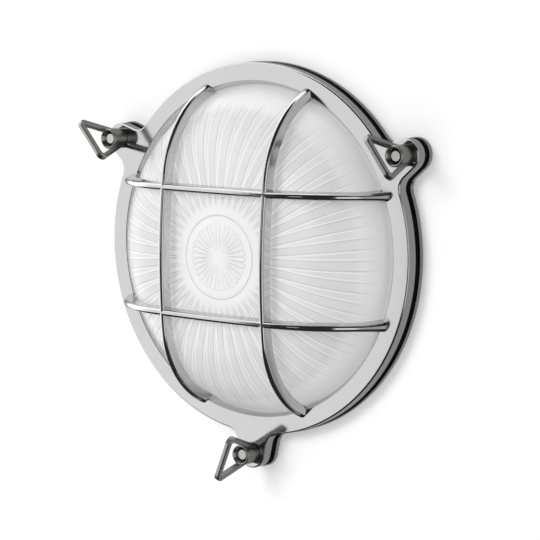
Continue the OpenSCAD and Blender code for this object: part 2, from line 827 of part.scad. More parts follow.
// From a way of the block round behind the bracket and into the threaded tube. The outer wire takes the wider
// bend.
module lamp_wire(way, aside, outer) {
    start = [block_at[0] + way * block_pitch, block_at[1] + clamp_off, tube_z];
    lane = [-bracket_out - bracket_foot, lamp_up + aside, lamp_z];
    wire([start, start + [0, block_l / 2, 0], start + [-block_pitch, block_l - outer, 0],
        [lane[0] + wire_d - outer, lamp_up - bracket_w - outer / 2, tube_z + wire_d],
        [lane[0] - wire_d - outer, lamp_up + aside - bracket_w / 4, lamp_z],
        lane, lane + [bracket_foot / 2, 0, 0], [-bracket_out, lane[1], lamp_z]]);
}

wire_aside = nipple_d / 2 - nipple_wall - wire_d / 2 - 4 * fit_gap;
module live_wire() {
    color("brown") to_front() lamp_wire(ways[0], wire_aside, 2 * wire_d);
}

module neutral_wire() {
    color("steelblue") to_front() lamp_wire(ways[1], -wire_aside, 0);
}

module earth_wire() {
    start = [block_at[0] + ways[2] * block_pitch, block_at[1] + clamp_off, tube_z];
    end_z = floor_z + wire_d / 2;
    tail = [earth_at[0], earth_at[1] - screw_d / 2 - wire_d, end_z];
    color("yellowgreen") to_front() wire([start, start + [0, block_l / 2, 0],
        start + [block_pitch, block_l * 0.8, 0], tail + [0, -block_pitch / 2, wire_d], tail]);
}

module earth_screw() {
    color("silver") to_front() pan_screw(earth_at, floor_z + wire_d);
}

back_plate();
body_gasket();
glass_seal();
glass_dome();
guard();
stud(0);  // stud_right
stud(1);  // stud_left
stud(2);  // stud_bottom
thumb_nut(0, turn_right);  // thumb_nut_right
thumb_nut(1, turn_left);  // thumb_nut_left
thumb_nut(2, turn_bottom);  // thumb_nut_bottom
reflector();
reflector_screws();
cable_grommet();
holder_bracket();
bracket_screws();
lampholder_body();
lampholder_shell();
centre_contact();
holder_nipple();
holder_nut();
lamp();
terminal_block();
terminal_tubes();
terminal_screws();
block_screw();
live_wire();
neutral_wire();
earth_wire();
earth_screw();
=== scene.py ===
import math

import bmesh
import bpy
import numpy as np
from mathutils import Matrix


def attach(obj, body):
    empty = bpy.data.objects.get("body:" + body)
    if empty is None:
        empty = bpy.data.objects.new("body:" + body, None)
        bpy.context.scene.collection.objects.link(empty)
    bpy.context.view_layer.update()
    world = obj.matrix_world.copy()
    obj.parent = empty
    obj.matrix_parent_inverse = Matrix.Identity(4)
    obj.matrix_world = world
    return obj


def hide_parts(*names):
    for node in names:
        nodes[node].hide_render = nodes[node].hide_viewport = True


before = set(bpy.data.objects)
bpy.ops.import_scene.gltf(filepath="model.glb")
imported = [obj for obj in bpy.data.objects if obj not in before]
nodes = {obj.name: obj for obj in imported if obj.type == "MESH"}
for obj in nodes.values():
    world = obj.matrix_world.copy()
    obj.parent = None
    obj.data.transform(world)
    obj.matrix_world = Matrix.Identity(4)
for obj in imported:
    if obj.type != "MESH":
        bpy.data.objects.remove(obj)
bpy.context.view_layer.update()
print("frame loaded with", len(nodes), "nodes")


# A shader socket. Sums, products and quotients of sockets add Math nodes, and make() adds any other node.
class Wire:
    def __init__(self, tree, socket=None):
        self.tree = tree
        self.socket = socket

    def plug(self, value, socket):
        if isinstance(value, Wire):
            self.tree.links.new(value.socket, socket)
        else:
            socket.default_value = value

    def make(self, kind, settings=None, sockets=None, out=0):
        node = self.tree.nodes.new(kind)
        for key, value in (settings or {}).items():
            setattr(node, key, value)
        for key, value in (sockets or {}).items():
            self.plug(value, node.inputs[key])
        return Wire(self.tree, node.outputs[out])

    def work(self, operation, first, second=0.0):
        return self.make("ShaderNodeMath", {"operation": operation}, {0: first, 1: second})

    def __add__(self, other):
        return self.work("ADD", self, other)

    def __radd__(self, other):
        return self.work("ADD", other, self)

    def __sub__(self, other):
        return self.work("SUBTRACT", self, other)

    def __rsub__(self, other):
        return self.work("SUBTRACT", other, self)

    def __mul__(self, other):
        return self.work("MULTIPLY", self, other)

    def __rmul__(self, other):
        return self.work("MULTIPLY", other, self)

    def __truediv__(self, other):
        return self.work("DIVIDE", self, other)

    def __rtruediv__(self, other):
        return self.work("DIVIDE", other, self)

    def __abs__(self):
        return self.work("ABSOLUTE", self)

    def step(self, low, high):  # smooth step from 0 at low to 1 at high
        sockets = {"Value": self, "From Min": low, "From Max": high}
        return self.make("ShaderNodeMapRange", {"interpolation_type": "SMOOTHSTEP"}, sockets)

    def blend(self, first, second):  # a colour between two, this socket being the share of the second
        settings = {"data_type": "RGBA", "clamp_factor": True}
        return self.make("ShaderNodeMix", settings, {0: self, 6: first, 7: second}, 2)

    def noise(self, scale, detail=3.0, rough=0.55):  # this socket holds the place
        sockets = {"Vector": self, "Scale": scale, "Detail": detail, "Roughness": rough}
        return self.make("ShaderNodeTexNoise", {}, sockets)

    def patches(self, scale, detail=3.0, low=0.3, high=0.7):  # noise drawn out to soft patches from 0 to 1
        return self.noise(scale, detail).step(low, high)

    def bump(self, height, depth):
        return self.make("ShaderNodeBump", {}, {"Height": height, "Distance": depth})

    def axes(self):  # the three numbers of a vector
        node = self.make("ShaderNodeSeparateXYZ", {}, {0: self}).socket.node
        return [Wire(self.tree, out) for out in node.outputs]


# A new material with its Principled shader: fixed values go straight to the shader's sockets
def newFinish(name, **fixed):
    material = bpy.data.materials.new(name)
    material.use_nodes = True
    tree = material.node_tree
    shader = next(n for n in tree.nodes if n.type == "BSDF_PRINCIPLED")
    for key, value in fixed.items():
        shader.inputs[key.replace("_", " ")].default_value = value
    place = Wire(tree).make("ShaderNodeTexCoord", {}, {}, "Object")
    return material, shader, place


def wear(material, *names):
    for name in names:
        nodes[name].data.materials.clear()
        nodes[name].data.materials.append(material)


def shade(colour, share):  # a darker or lighter colour with its alpha
    return tuple(min(1.0, c * share) for c in colour[:3]) + (1.0,)


def addThing(name, data):
    thing = bpy.data.objects.new(name, data)
    bpy.context.scene.collection.objects.link(thing)
    return thing


# Puts a thing at a place, with its own right and up along two directions
def pointThing(thing, place, right, up):
    turn = np.stack([right, up, np.cross(right, up)], axis=1)
    thing.matrix_world = Matrix.Translation(place) @ Matrix(turn.tolist()).to_4x4()


# Camera, from the photograph's own perspective
view = {"place": (0.8113, -1.0608, 0.1464), "right": (0.7941, 0.6076, 0.0129),
        "up": (-0.0826, 0.0869, 0.9928), "lens": 144.07, "sensor": 36.0}


def addCamera():
    data = bpy.data.cameras.new("camera")
    data.lens = view["lens"]
    data.sensor_width = view["sensor"]
    camera = addThing("camera", data)
    pointThing(camera, view["place"], view["right"], view["up"])
    bpy.context.scene.camera = camera


addCamera()
print("camera placed")

# Stage: a pale wall behind the plate, a pale floor below, a soft lamp and an even room
studio = {"wallGap": 0.0006, "wallHalf": 3.0, "floorDrop": 0.6, "wallShade": 0.95, "wallRough": 0.9,
          "mottle": 0.01, "mottleScale": 3.0, "glow": 0.06, "lampPlace": (-0.46, -1.75, 0.54),
          "lampSize": 0.7, "lampPower": 11.5, "room": 0.69}


def gridMesh(name, points, faces):
    mesh = bpy.data.meshes.new(name)
    mesh.from_pydata(points, [], faces)
    mesh.update()
    return mesh


# Four-sided faces of a grid of points whose columns run round, and whose rows may
def gridFaces(rows, columns, roundRows, first=0):
    i, j = np.meshgrid(np.arange(rows if roundRows else rows - 1), np.arange(columns), indexing="ij")
    k, down = (j + 1) % columns, (i + 1) % rows
    quads = np.stack([i * columns + j, down * columns + j, down * columns + k, i * columns + k], axis=-1)
    return (first + quads.reshape(-1, 4)).tolist()


# Faces of a tube of such rows, with one face over each end
def tubeFaces(rows, columns, first):
    near = first + np.arange(columns)
    far = near + (rows - 1) * columns
    return gridFaces(rows, columns, False, first) + [near.tolist(), far.tolist()]


# The wall shows white to the camera, keeps the shadow, and can be seen through from behind
def wallFinish():
    material, shader, place = newFinish("paleWall", Roughness=studio["wallRough"], Specular_IOR_Level=0.0,
                                        Emission_Strength=1.0)
    tree = material.node_tree
    root = Wire(tree)
    pale = (studio["wallShade"],) * 3
    mottle = place.patches(studio["mottleScale"])
    root.plug(mottle.blend(shade(pale, 1.0), shade(pale, 1 + studio["mottle"])), shader.inputs["Base Color"])
    glow = root.make("ShaderNodeLightPath", {}, {}, "Is Camera Ray") * studio["glow"]
    root.plug(glow, shader.inputs["Emission Color"])
    behind = root.make("ShaderNodeNewGeometry", {}, {}, "Backfacing")
    clear = root.make("ShaderNodeBsdfTransparent")
    end = next(n for n in tree.nodes if n.type == "OUTPUT_MATERIAL")
    solid = Wire(tree, shader.outputs[0])
    root.plug(root.make("ShaderNodeMixShader", {}, {0: behind, 1: solid, 2: clear}), end.inputs["Surface"])
    return material


def addStage():
    half, gap, drop = studio["wallHalf"], studio["wallGap"], -studio["floorDrop"]
    near = [(-half, gap - half, drop), (half, gap - half, drop)]
    low = [(-half, gap, drop), (half, gap, drop)]
    high = [(half, gap, half), (-half, gap, half)]
    square = [(0, 1, 2, 3)]
    wall = addThing("wall", gridMesh("wall", low + high, square))
    floor = addThing("floor", gridMesh("floor", near + low[::-1], square))
    material = wallFinish()
    for thing in (wall, floor):
        thing.data.materials.append(material)
        thing.visible_glossy = False  # metal mirrors the room made below


def addLamp():
    data = bpy.data.lights.new("softLamp", "AREA")
    data.energy = studio["lampPower"]
    data.size = studio["lampSize"]
    lamp = addThing("softLamp", data)
    lamp.visible_glossy = False
    back = np.array(studio["lampPlace"])
    side = np.cross((0, 0, 1), back)
    up = np.cross(back, side)
    pointThing(lamp, studio["lampPlace"], side / np.linalg.norm(side), up / np.linalg.norm(up))


# What metal mirrors: white at the left, greyer towards the front and grey at the far right. In front stands a
# dark strip with a bright gap straight ahead. It is dark below and at the upper right, and dim behind.
# In a pair, the cosine to a direction goes from one tone to the next. Least keeps a division off zero.
mirrored = {"front": (0.105, -0.9945), "white": 1.65, "band": 1.12, "dark": 0.03, "dim": 0.36, "side": 0.5,
            "bandFrom": (0.20, 0.34), "darkFrom": (0.785, 0.80), "gapFrom": (0.991, 0.996),
            "gapTo": (0.085, 0.115), "belowFrom": (0.42, 0.52), "belowTo": (0.30, 0.50), "upRight": 0.707,
            "rightFrom": (0.40, 0.52), "upFrom": (0.30, 0.46), "sideFrom": (0.91, 0.96),
            "behindFrom": (0.28, 0.45), "least": 0.0001}


def addRoom():
    world = bpy.data.worlds.new("room")
    bpy.context.scene.world = world
    world.use_nodes = True
    tree = world.node_tree
    root = Wire(tree)
    rays = root.make("ShaderNodeLightPath").socket.node
    kinds = ("Is Camera Ray", "Is Glossy Ray", "Is Transmission Ray", "Is Diffuse Ray")
    camera, glossy, through, diffuse = (Wire(tree, rays.outputs[kind]) for kind in kinds)
    x, y, z = root.make("ShaderNodeTexCoord", {}, {}, "Generated").axes()
    ahead = mirrored["front"][0] * x + mirrored["front"][1] * y
    level = root.work("SQRT", x * x + y * y + mirrored["least"])
    gap = ((0.0 - y) / level).step(*mirrored["gapFrom"]) * (1.0 - abs(z).step(*mirrored["gapTo"]))
    strip = (ahead / level).step(*mirrored["darkFrom"]) * (1.0 - gap)
    below = (0.0 - z).step(*mirrored["belowFrom"]) * (1.0 - y.step(*mirrored["belowTo"]))
    right = (mirrored["upRight"] * (x - y) / level).step(*mirrored["rightFrom"])
    above = right * z.step(*mirrored["upFrom"])
    dark = root.work("MAXIMUM", strip, root.work("MAXIMUM", above, below))
    light = mirrored["white"] - (mirrored["white"] - mirrored["band"]) * ahead.step(*mirrored["bandFrom"])
    side = (x / level).step(*mirrored["sideFrom"])
    light = light * (1.0 - side) + mirrored["side"] * side
    behind = y.step(*mirrored["behindFrom"])
    light = light * (1.0 - behind) + mirrored["dim"] * behind
    seen = light * (1.0 - dark) + mirrored["dark"] * dark
    shown = root.work("MAXIMUM", camera, through)
    strength = root.work("MAXIMUM", shown, glossy * seen)
    background = next(n for n in tree.nodes if n.type == "BACKGROUND")
    background.inputs["Color"].default_value = (1, 1, 1, 1)
    root.plug(root.work("MAXIMUM", strength, diffuse * studio["room"]), background.inputs["Strength"])


addStage()
addLamp()
addRoom()
bpy.context.scene.view_settings.view_transform = "Standard"
print("stage, lamp and room made")

# Metal: nearly even, with faint clouds of polish and a very fine ripple
metals = {
    "guardChrome": {"tint": (0.59, 0.59, 0.595), "cloud": 0.02, "rough": 0.08, "ripple": 0.00002,
                    "nodes": ["guard"]},
    "nutChrome": {"tint": (0.41, 0.395, 0.375), "cloud": 0.08, "rough": 0.24, "ripple": 0.00006,
                  "nodes": ["thumb_nut_right", "thumb_nut_left", "thumb_nut_bottom"]},
    "plateChrome": {"tint": (0.45, 0.45, 0.45), "cloud": 0.04, "rough": 0.22, "ripple": 0.00003,
                    "nodes": ["back_plate"]},
    "studSteel": {"tint": (0.62, 0.61, 0.60), "cloud": 0.05, "rough": 0.25, "ripple": 0.00003,
                  "nodes": ["stud_right", "stud_left", "stud_bottom"]},
    "screwZinc": {"tint": (0.64, 0.65, 0.67), "cloud": 0.06, "rough": 0.30, "ripple": 0.00004,
                  "nodes": ["reflector_screws", "bracket_screws", "terminal_screws", "block_screw",
                            "earth_screw", "holder_bracket"]},
    "brightBrass": {"tint": (0.80, 0.60, 0.26), "cloud": 0.06, "rough": 0.22, "ripple": 0.00003,
                    "nodes": ["lampholder_shell", "centre_contact", "holder_nipple", "holder_nut",
                              "terminal_tubes"]},
}
polish = {"cloudScale": 38.0, "cloudDetail": 4.0, "cloudRough": 0.03, "fineScale": 900.0, "fineRough": 0.05,
          "rippleScale": 260.0, "detail": 2.0}


def metalFinish(name, how):
    material, shader, place = newFinish(name, Metallic=1.0)
    root = Wire(material.node_tree)
    cloud = place.patches(polish["cloudScale"], polish["cloudDetail"])
    fine = place.noise(polish["fineScale"], polish["detail"])
    ripple = place.noise(polish["rippleScale"], polish["detail"])
    dull, bright = shade(how["tint"], 1 - how["cloud"]), shade(how["tint"], 1 + how["cloud"])
    rough = how["rough"] + polish["fineRough"] * fine + polish["cloudRough"] * cloud
    root.plug(cloud.blend(dull, bright), shader.inputs["Base Color"])
    root.plug(rough, shader.inputs["Roughness"])
    root.plug(root.bump(ripple, how["ripple"]), shader.inputs["Normal"])
    return material


for name, how in metals.items():
    wear(metalFinish(name, how), *how["nodes"])
print("metal finishes on")

# Cast and turned pieces whose curves mirror the room, each with its node, body and slot
polished = {"rightNut": ("thumb_nut_right", "nut_right", "nut_chrome"),
            "leftNut": ("thumb_nut_left", "nut_left", "nut_chrome"),
            "bottomNut": ("thumb_nut_bottom", "nut_bottom", "nut_chrome"),
            "wallPlate": ("back_plate", "fitting", "plate_chrome")}
edging = {"sharpFrom": 33, "mergeGap": 1e-6}  # degrees and metres


# Puts some meshes into one, with doubles merged and faces turned outward
def weld(mesh, parts):
    shape = bmesh.new()
    for part in parts:
        shape.from_mesh(part)
    bmesh.ops.remove_doubles(shape, verts=shape.verts, dist=edging["mergeGap"])
    bmesh.ops.recalc_face_normals(shape, faces=shape.faces)
    shape.to_mesh(mesh)
    shape.free()


# A piece welded from some meshes, with smooth curves and crisp edges, in place of a node
def polishPiece(name, meshes, node, body, sharpFrom):
    mesh = bpy.data.meshes.new(name)
    weld(mesh, meshes)
    mesh.polygons.foreach_set("use_smooth", np.ones(len(mesh.polygons), bool))
    mesh.set_sharp_from_angle(angle=math.radians(sharpFrom))
    mesh.materials.clear()
    mesh.materials.append(nodes[node].data.materials[0])
    piece = addThing(name, mesh)
    weigh = piece.modifiers.new("flatFaces", "WEIGHTED_NORMAL")
    weigh.keep_sharp = True
    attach(piece, body)
    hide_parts(node)
    return piece


for name, (node, body, slot) in polished.items():
    polishPiece(name, [nodes[node].data], node, body, edging["sharpFrom"])
print("polished pieces made")

# Guard casting: a ring with three tapered lugs, and four arched bars that widen to the back and at their
# feet. Sizes of ring and lugs come first, then those of the bars, then how many points draw each stretch.
cage = {"ringR": 0.115, "innerR": 0.104, "lipR": 0.102, "rabbetR": 0.1077, "back": 0.007, "lipUp": 0.011,
        "face": 0.014, "edge": 0.001, "innerEdge": 0.0003, "innerBend": (0.4, 0.6), "studR": 0.1273,
        "studAngles": (270, 150, 30), "hole": 0.0033, "pinTo": 0.03, "lugEnd": 0.00975, "lugTaper": 12,
        "lugFillet": 0.009, "sharpFrom": 30,
        "pitch": 0.0772, "half": 0.002, "depth": 0.007, "corner": 0.0004, "cornerLean": 0.1, "draft": 0.0008,
        "rise": 0.044, "crownR": 0.430, "shoulderR": 0.066, "landing": 0.0036, "footUp": 0.0005,
        "flare": 0.45, "flareUp": 0.022,
        "tipPoints": 20, "sidePoints": 7, "filletPoints": 14, "rimPoints": 60, "edgePoints": 9,
        "holePoints": 48, "shoulderPoints": 44, "crownPoints": 14, "frontPoints": 19}
mirror = np.array((-1, 1))


# Points of an arc, and the way out from its centre at each
def arc(centre, radius, first, last, count):
    turn = np.linspace(first, last, count)
    away = np.stack([np.cos(turn), np.sin(turn)], axis=1)
    return np.array(centre) + radius * away, away


# A flat outline set at a height over the wall
def lift(outline, height):
    return np.stack([outline[:, 0], np.full(len(outline), -height), outline[:, 1]], axis=1)


# Outline of ring and lugs, clockwise, with the way out at each point: round the tip of a lug that points up,
# down its side, through the fillet and along the ring to halfway, then mirrored and set at the three studs
def lugOutline():
    end, fillet, ringR = cage["lugEnd"], cage["lugFillet"], cage["ringR"]
    taper = math.radians(cage["lugTaper"])
    side = np.array((math.cos(taper), math.sin(taper)))
    down = np.array((side[1], -side[0]))
    stud = np.array((0, cage["studR"]))
    start = stud + (end + fillet) * side
    along = start @ down
    run = -along - math.sqrt(along**2 - start @ start + (ringR + fillet) ** 2)
    middle = start + run * down
    toe = math.atan2(middle[1], middle[0])
    halfway = math.radians(90 - 180 / len(cage["studAngles"]))
    tip, tipOut = arc(stud, end, math.pi / 2, taper, cage["tipPoints"])
    line = np.linspace(tip[-1], middle - fillet * side, cage["sidePoints"])[1:-1]
    bend, bendIn = arc(middle, fillet, math.pi + taper, math.pi + toe, cage["filletPoints"])
    rim, rimOut = arc((0, 0), ringR, toe, halfway, cage["rimPoints"])
    points = np.concatenate([tip, line, bend, rim[1:]])
    out = np.concatenate([tipOut, np.tile(side, (len(line), 1)), -bendIn, rimOut[1:]])
    points = np.concatenate([(points * mirror)[:0:-1], points[:-1]])
    out = np.concatenate([(out * mirror)[:0:-1], out[:-1]])
    turns = [math.radians(angle - 90) for angle in cage["studAngles"]]
    spins = [np.array(((math.cos(t), math.sin(t)), (-math.sin(t), math.cos(t)))) for t in turns]
    return np.concatenate([points @ s for s in spins]), np.concatenate([out @ s for s in spins])


# Ring and lugs as rows of points: up the outline and in over its rounded edge, then circles on the same
# angles down the inner edge to the lip, and out to the rabbet behind it
def ringRows():
    points, out = lugOutline()
    edge, face, small, innerR = cage["edge"], cage["face"], cage["innerEdge"], cage["innerR"]
    down, inward = cage["innerBend"]
    rounding = np.linspace(0, math.pi / 2, cage["edgePoints"])
    rows = [lift(points, cage["back"])]
    rows += [lift(points - edge * (1 - math.cos(t)) * out, face - edge * (1 - math.sin(t))) for t in rounding]
    away = points / np.linalg.norm(points, axis=1)[:, None]
    inner = [(innerR + small, face), (innerR, face - down * small), (innerR - inward * small, face - small),
             (cage["lipR"], cage["lipUp"]), (cage["rabbetR"], cage["lipUp"]), (cage["rabbetR"], cage["back"])]
    return np.stack(rows + [lift(radius * away, height) for radius, height in inner])


# Three closed pins, each a circle carried from the wall to in front of the ring, where the studs pass
def pinMesh():
    points, faces = [], []
    for angle in cage["studAngles"]:
        turn = math.radians(angle)
        centre = cage["studR"] * np.array((math.cos(turn), math.sin(turn)))
        circle = arc(centre, cage["hole"], 0, 2 * math.pi, cage["holePoints"] + 1)[0][:-1]
        faces += tubeFaces(2, len(circle), len(points))
        points += np.concatenate([lift(circle, 0.0), lift(circle, cage["pinTo"])]).tolist()
    return gridMesh("pins", points, faces)


# The ring less its stud holes
def ringMesh():
    grid = ringRows()
    rows, columns = grid.shape[:2]
    ring = addThing("ring", gridMesh("ring", grid.reshape(-1, 3), gridFaces(rows, columns, True)))
    pins = addThing("pins", pinMesh())
    for thing in (ring, pins):
        weld(thing.data, [thing.data])
    cut = ring.modifiers.new("studHoles", "BOOLEAN")
    cut.operation, cut.solver, cut.object = "DIFFERENCE", "EXACT", pins
    mesh = bpy.data.meshes.new_from_object(ring.evaluated_get(bpy.context.evaluated_depsgraph_get()))
    bpy.data.objects.remove(ring)
    bpy.data.objects.remove(pins)
    return mesh


# Front line of a bar from foot to foot and the way out along it: two shoulder arcs that touch one flat crown
# arc. A shoulder's centre is where two circles cross, one about the crown's centre and one about the foot.
def archLine():
    top, crownR, shoulderR = cage["face"] + cage["rise"], cage["crownR"], cage["shoulderR"]
    footR = cage["innerR"] + cage["landing"]
    foot = np.array((math.sqrt(footR**2 - cage["pitch"] ** 2 / 4), cage["face"]))
    hub = np.array((0, top - crownR))
    span, near = np.linalg.norm(foot - hub), crownR - shoulderR
    way = (foot - hub) / span
    along = (near**2 - shoulderR**2 + span**2) / (2 * span)
    centre = hub + along * way + math.sqrt(near**2 - along**2) * np.array((-way[1], way[0]))
    crown = math.atan2(centre[1] - hub[1], centre[0])
    low = math.asin((cage["lipUp"] + cage["footUp"] - centre[1]) / shoulderR)
    shoulder, shoulderOut = arc(centre, shoulderR, low, crown, cage["shoulderPoints"])
    flat, flatOut = arc(hub, crownR, crown, math.pi / 2, cage["crownPoints"])
    points, out = np.concatenate([shoulder, flat[1:]]), np.concatenate([shoulderOut, flatOut[1:]])
    return np.concatenate([points, (points * mirror)[-2::-1]]), np.concatenate([out, (out * mirror)[-2::-1]])


# Section of a bar as places across it and below its front line: a round front, sides that lean out and a flat
# back with small corners
def barSection():
    half, depth, corner = cage["half"], cage["depth"], cage["corner"]
    front, _ = arc((0, half), half, math.pi, 2 * math.pi, cage["frontPoints"])
    wide = half + cage["draft"]
    back = np.array([(wide - cage["cornerLean"] * corner, depth - corner), (wide - corner, depth)])
    return np.concatenate([front, back, back[::-1] * mirror])


# Two level and two upright bars: the section carried along the front line, and widened by the square of how
# far a place lies down towards the foot
def barsMesh():
    line, out = archLine()
    section = barSection()
    up = np.clip((line[:, 1] - cage["face"]) / cage["flareUp"], 0, 1)
    widen = 1 + cage["flare"] * (1 - up) ** 2
    across = section[None, :, 0] * widen[:, None]
    place = line[:, None, :] - section[None, :, 1, None] * out[:, None, :]
    points, faces = [], []
    for shift in (-cage["pitch"] / 2, cage["pitch"] / 2):
        level = np.stack([place[..., 0], -place[..., 1], shift + across], axis=-1).reshape(-1, 3)
        for bar in (level, level[:, ::-1]):
            faces += tubeFaces(*across.shape, len(points))
            points += bar.tolist()
    return gridMesh("bars", points, faces)


casting = [ringMesh(), barsMesh()]
guard = polishPiece("guardCasting", casting, "guard", "fitting", cage["sharpFrom"])
guard.visible_diffuse = False  # the bars keep no room light from the glass
print("guard made with", len(guard.data.polygons), "faces")

# Plain solid finishes: a base colour with mottling, a bump of moulding or glaze, and a gloss
plains = {
    "blackRubber": {"tint": (0.004, 0.004, 0.0045), "mottle": 0.5, "rough": 0.80, "gloss": 0.06,
                    "grain": 700.0, "depth": 0.00008, "nodes": ["body_gasket", "cable_grommet"]},
    "paleSilicone": {"tint": (0.72, 0.72, 0.71), "mottle": 0.04, "rough": 0.50, "gloss": 0.4,
                     "grain": 500.0, "depth": 0.00004, "nodes": ["glass_seal"]},
    "whiteEnamel": {"tint": (0.88, 0.88, 0.87), "mottle": 0.02, "rough": 0.22, "gloss": 0.5,
                    "grain": 180.0, "depth": 0.00004, "nodes": ["reflector"]},
    "glazedPorcelain": {"tint": (0.86, 0.85, 0.81), "mottle": 0.04, "rough": 0.14, "gloss": 0.5,
                        "grain": 120.0, "depth": 0.00005, "nodes": ["lampholder_body"]},
    "ivoryPlastic": {"tint": (0.80, 0.76, 0.64), "mottle": 0.05, "rough": 0.42, "gloss": 0.5,
                     "grain": 600.0, "depth": 0.00005, "nodes": ["terminal_block"]},
    "brownInsulation": {"tint": (0.20, 0.075, 0.03), "mottle": 0.10, "rough": 0.38, "gloss": 0.5,
                        "grain": 500.0, "depth": 0.00003, "nodes": ["live_wire"]},
    "blueInsulation": {"tint": (0.03, 0.13, 0.46), "mottle": 0.10, "rough": 0.38, "gloss": 0.5,
                       "grain": 500.0, "depth": 0.00003, "nodes": ["neutral_wire"]},
    "greenInsulation": {"tint": (0.16, 0.36, 0.03), "mottle": 0.10, "rough": 0.38, "gloss": 0.5,
                        "grain": 500.0, "depth": 0.00003, "nodes": ["earth_wire"]},
}
moulding = {"mottleScale": 60.0, "mottleDetail": 4.0, "mottleFrom": (0.25, 0.75), "grainRough": 0.08}


def plainFinish(name, how):
    material, shader, place = newFinish(name, Specular_IOR_Level=how["gloss"])
    root = Wire(material.node_tree)
    mottle = place.patches(moulding["mottleScale"], moulding["mottleDetail"], *moulding["mottleFrom"])
    low, high = shade(how["tint"], 1 - how["mottle"]), shade(how["tint"], 1 + how["mottle"])
    root.plug(mottle.blend(low, high), shader.inputs["Base Color"])
    grain = place.noise(how["grain"])
    root.plug(how["rough"] + moulding["grainRough"] * (grain - 0.5), shader.inputs["Roughness"])
    root.plug(root.bump(grain, how["depth"]), shader.inputs["Normal"])
    return material


for name, how in plains.items():
    wear(plainFinish(name, how), *how["nodes"])
print("plain finishes on")

# Opal bulb and its nickel screw cap, split along the lamp axis
lampLook = {"capEnd": -0.0199, "seam": 0.0004, "opal": (0.90, 0.89, 0.86), "opalRough": 0.18, "haze": 0.97,
            "hazeScale": 90.0, "nickel": (0.62, 0.60, 0.56), "nickelRough": 0.32, "pitch": 0.0018,
            "threadDepth": 0.0004}


def lampFinish():
    material, shader, place = newFinish("opalLamp")
    root = Wire(material.node_tree)
    x = place.axes()[0]
    glass = x.step(lampLook["capEnd"], lampLook["capEnd"] + lampLook["seam"])
    haze = place.patches(lampLook["hazeScale"])
    opal = haze.blend(shade(lampLook["opal"], 1.0), shade(lampLook["opal"], lampLook["haze"]))
    root.plug(glass.blend(shade(lampLook["nickel"], 1.0), opal), shader.inputs["Base Color"])
    root.plug(1.0 - glass, shader.inputs["Metallic"])
    smoother = lampLook["nickelRough"] - lampLook["opalRough"]
    root.plug(lampLook["nickelRough"] - smoother * glass, shader.inputs["Roughness"])
    turns = root.work("SINE", x * (2 * math.pi / lampLook["pitch"])) * (1.0 - glass)
    root.plug(root.bump(turns, lampLook["threadDepth"]), shader.inputs["Normal"])
    return material


wear(lampFinish(), "lamp")
print("lamp finish on")

# Pressed glass bowl: a smooth outside, and inside it tapered ribs, a raised ring and a rosette of petals.
# Fingers are (count, start, stop, width at the start, width at the stop).
bowl = {"top": 0.0492, "crownR": 0.423, "shoulderR": 0.053, "shoulderAt": (0.05077, -0.0073),
        "wall": 0.003, "flangeR": 0.1076, "flangeTop": 0.010, "base": 0.007, "flangeEdge": 0.0006,
        "patternAt": (0.0, -0.002), "relief": 0.0006, "round": 0.0010, "leanMost": 0.98,
        "ribs": (44, 0.031, 0.094, 0.0034, 0.0064), "petals": (32, 0.005, 0.0205, 0.00068, 0.0028),
        "ring": (0.0255, 0.0009), "dot": 0.0014}
# How closely the bowl is drawn: its columns, the radius next to the axis, the angle in degrees up to which
# the shoulder's arc is drawn, how far outside the arc's centre other rows meet it, and each stretch's rows
drawn = {"columns": 704, "pole": 0.0005, "steep": 82, "outerMeet": 0.006, "outerCrown": 16, "outerArc": 26,
         "innerArc": 40, "innerMeet": 0.0062, "ribsTo": 0.0335, "ribRows": 14, "rosetteFrom": 0.033,
         "rosetteRows": 38}


# Height of the dome over the wall at the radius r: a flat arc in the middle, a tighter arc at the shoulder
def domeHeight(r, inset):
    crownR, shoulderR = bowl["crownR"] - inset, bowl["shoulderR"] - inset
    middle, level = bowl["shoulderAt"]
    split = crownR * middle / (bowl["crownR"] - bowl["shoulderR"])
    crown = bowl["top"] - inset - crownR + np.sqrt(np.maximum(crownR**2 - r**2, 0))
    out = np.clip(r - middle, -shoulderR, shoulderR)
    return np.where(r < split, crown, level + np.sqrt(shoulderR**2 - out**2))


# How far a place lies outside the nearest of a circle of round-ended fingers, below 0 inside one: the
# distance to the finger's middle line, less half of its width there
def fingerGap(r, turn, count, start, stop, startWidth, stopWidth):
    across = np.abs(np.mod(turn * count / (2 * math.pi) + 0.5, 1.0) - 0.5) * r * 2 * math.pi / count
    half = 0.5 * (startWidth + (r - start) * (stopWidth - startWidth) / (stop - start))
    past = np.maximum(np.maximum(start + half - r, r - stop + half), 0)
    return np.hypot(across, past) - half


# Height of the pattern over the inside of the dome: full on a raised piece, with quarter-round edges
def relief(x, z):
    x, z = x - bowl["patternAt"][0], z - bowl["patternAt"][1]
    r, turn = np.hypot(x, z), np.arctan2(z, x)
    gap = np.minimum(fingerGap(r, turn, *bowl["ribs"]), fingerGap(r, turn, *bowl["petals"]))
    gap = np.minimum(gap, np.minimum(np.abs(r - bowl["ring"][0]) - bowl["ring"][1], r - bowl["dot"]))
    return bowl["relief"] * np.sqrt(1 - np.clip(gap / bowl["round"] + 1, 0, 1) ** 2)


